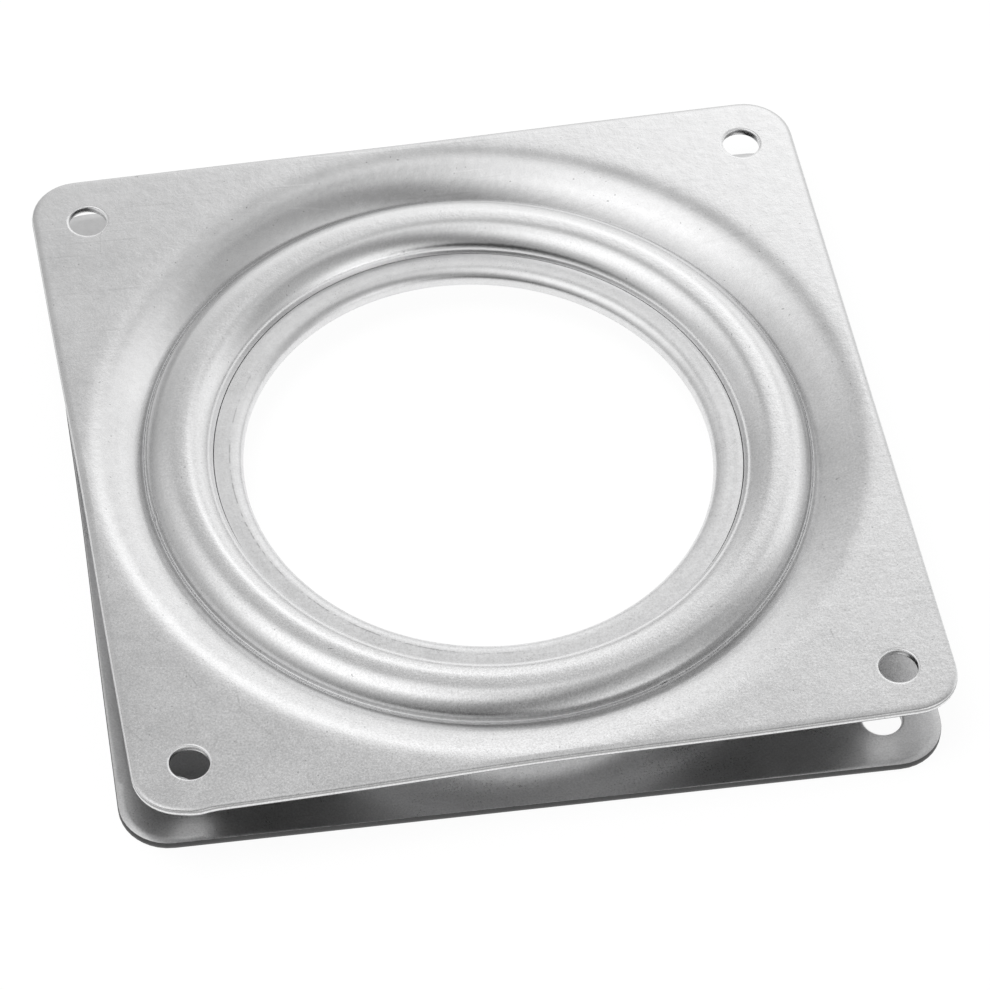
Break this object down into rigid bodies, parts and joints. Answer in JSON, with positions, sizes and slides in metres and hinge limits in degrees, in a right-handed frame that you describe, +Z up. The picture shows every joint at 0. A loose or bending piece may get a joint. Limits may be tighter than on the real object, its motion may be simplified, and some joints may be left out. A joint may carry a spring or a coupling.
{
  "type": "lazy susan bearing",
  "caption": "Square flat swivel bearing: two dished sheet-steel plates that turn on a ring of balls, with screw holes in the corners and a large open centre.",
  "frame": {"origin": "swivel axis at the underside of the lower plate", "axes": "+Z up along the swivel axis, X and Y along the lower plate's sides"},
  "size_m": [0.1048, 0.1048, 0.0095],
  "materials": {
    "zinc_plate_upper": "zinc-coated sheet steel, satin, lightly scratched",
    "zinc_plate_lower": "zinc-coated sheet steel, satin, lightly scratched",
    "zinc_ring": "zinc-coated sheet steel, smoother than the plates",
    "ball_steel": "polished hardened steel with a film of grease"
  },
  "bodies": {
    "base": {"lower_plate": "zinc_plate_lower", "retaining_ring": "zinc_ring"},
    "top": {"upper_plate": "zinc_plate_upper"},
    "ball_row": {"ball_01": "ball_steel", "ball_02": "ball_steel", "ball_03": "ball_steel", "ball_04": "ball_steel", "ball_05": "ball_steel", "ball_06": "ball_steel", "ball_07": "ball_steel", "ball_08": "ball_steel", "ball_09": "ball_steel", "ball_10": "ball_steel", "ball_11": "ball_steel", "ball_12": "ball_steel", "ball_13": "ball_steel", "ball_14": "ball_steel", "ball_15": "ball_steel", "ball_16": "ball_steel", "ball_17": "ball_steel", "ball_18": "ball_steel", "ball_19": "ball_steel", "ball_20": "ball_steel", "ball_21": "ball_steel", "ball_22": "ball_steel", "ball_23": "ball_steel", "ball_24": "ball_steel", "ball_25": "ball_steel", "ball_26": "ball_steel", "ball_27": "ball_steel", "ball_28": "ball_steel", "ball_29": "ball_steel", "ball_30": "ball_steel", "ball_31": "ball_steel", "ball_32": "ball_steel", "ball_33": "ball_steel", "ball_34": "ball_steel", "ball_35": "ball_steel", "ball_36": "ball_steel", "ball_37": "ball_steel", "ball_38": "ball_steel", "ball_39": "ball_steel", "ball_40": "ball_steel", "ball_41": "ball_steel", "ball_42": "ball_steel", "ball_43": "ball_steel", "ball_44": "ball_steel", "ball_45": "ball_steel", "ball_46": "ball_steel", "ball_47": "ball_steel", "ball_48": "ball_steel", "ball_49": "ball_steel", "ball_50": "ball_steel", "ball_51": "ball_steel", "ball_52": "ball_steel", "ball_53": "ball_steel", "ball_54": "ball_steel", "ball_55": "ball_steel", "ball_56": "ball_steel"}
  },
  "joints": [
    {"name": "swivel", "type": "hinge", "parent": "base", "child": "top", "pos_m": [0, 0, 0.0048], "axis": [0, 0, 1], "continuous": true},
    {"name": "ball_travel", "type": "hinge", "parent": "base", "child": "ball_row", "pos_m": [0, 0, 0.0043], "axis": [0, 0, 1], "continuous": true}
  ],
  "couplings": [
    {"joint": "ball_travel", "follows": "swivel", "ratio": 0.5}
  ]
}
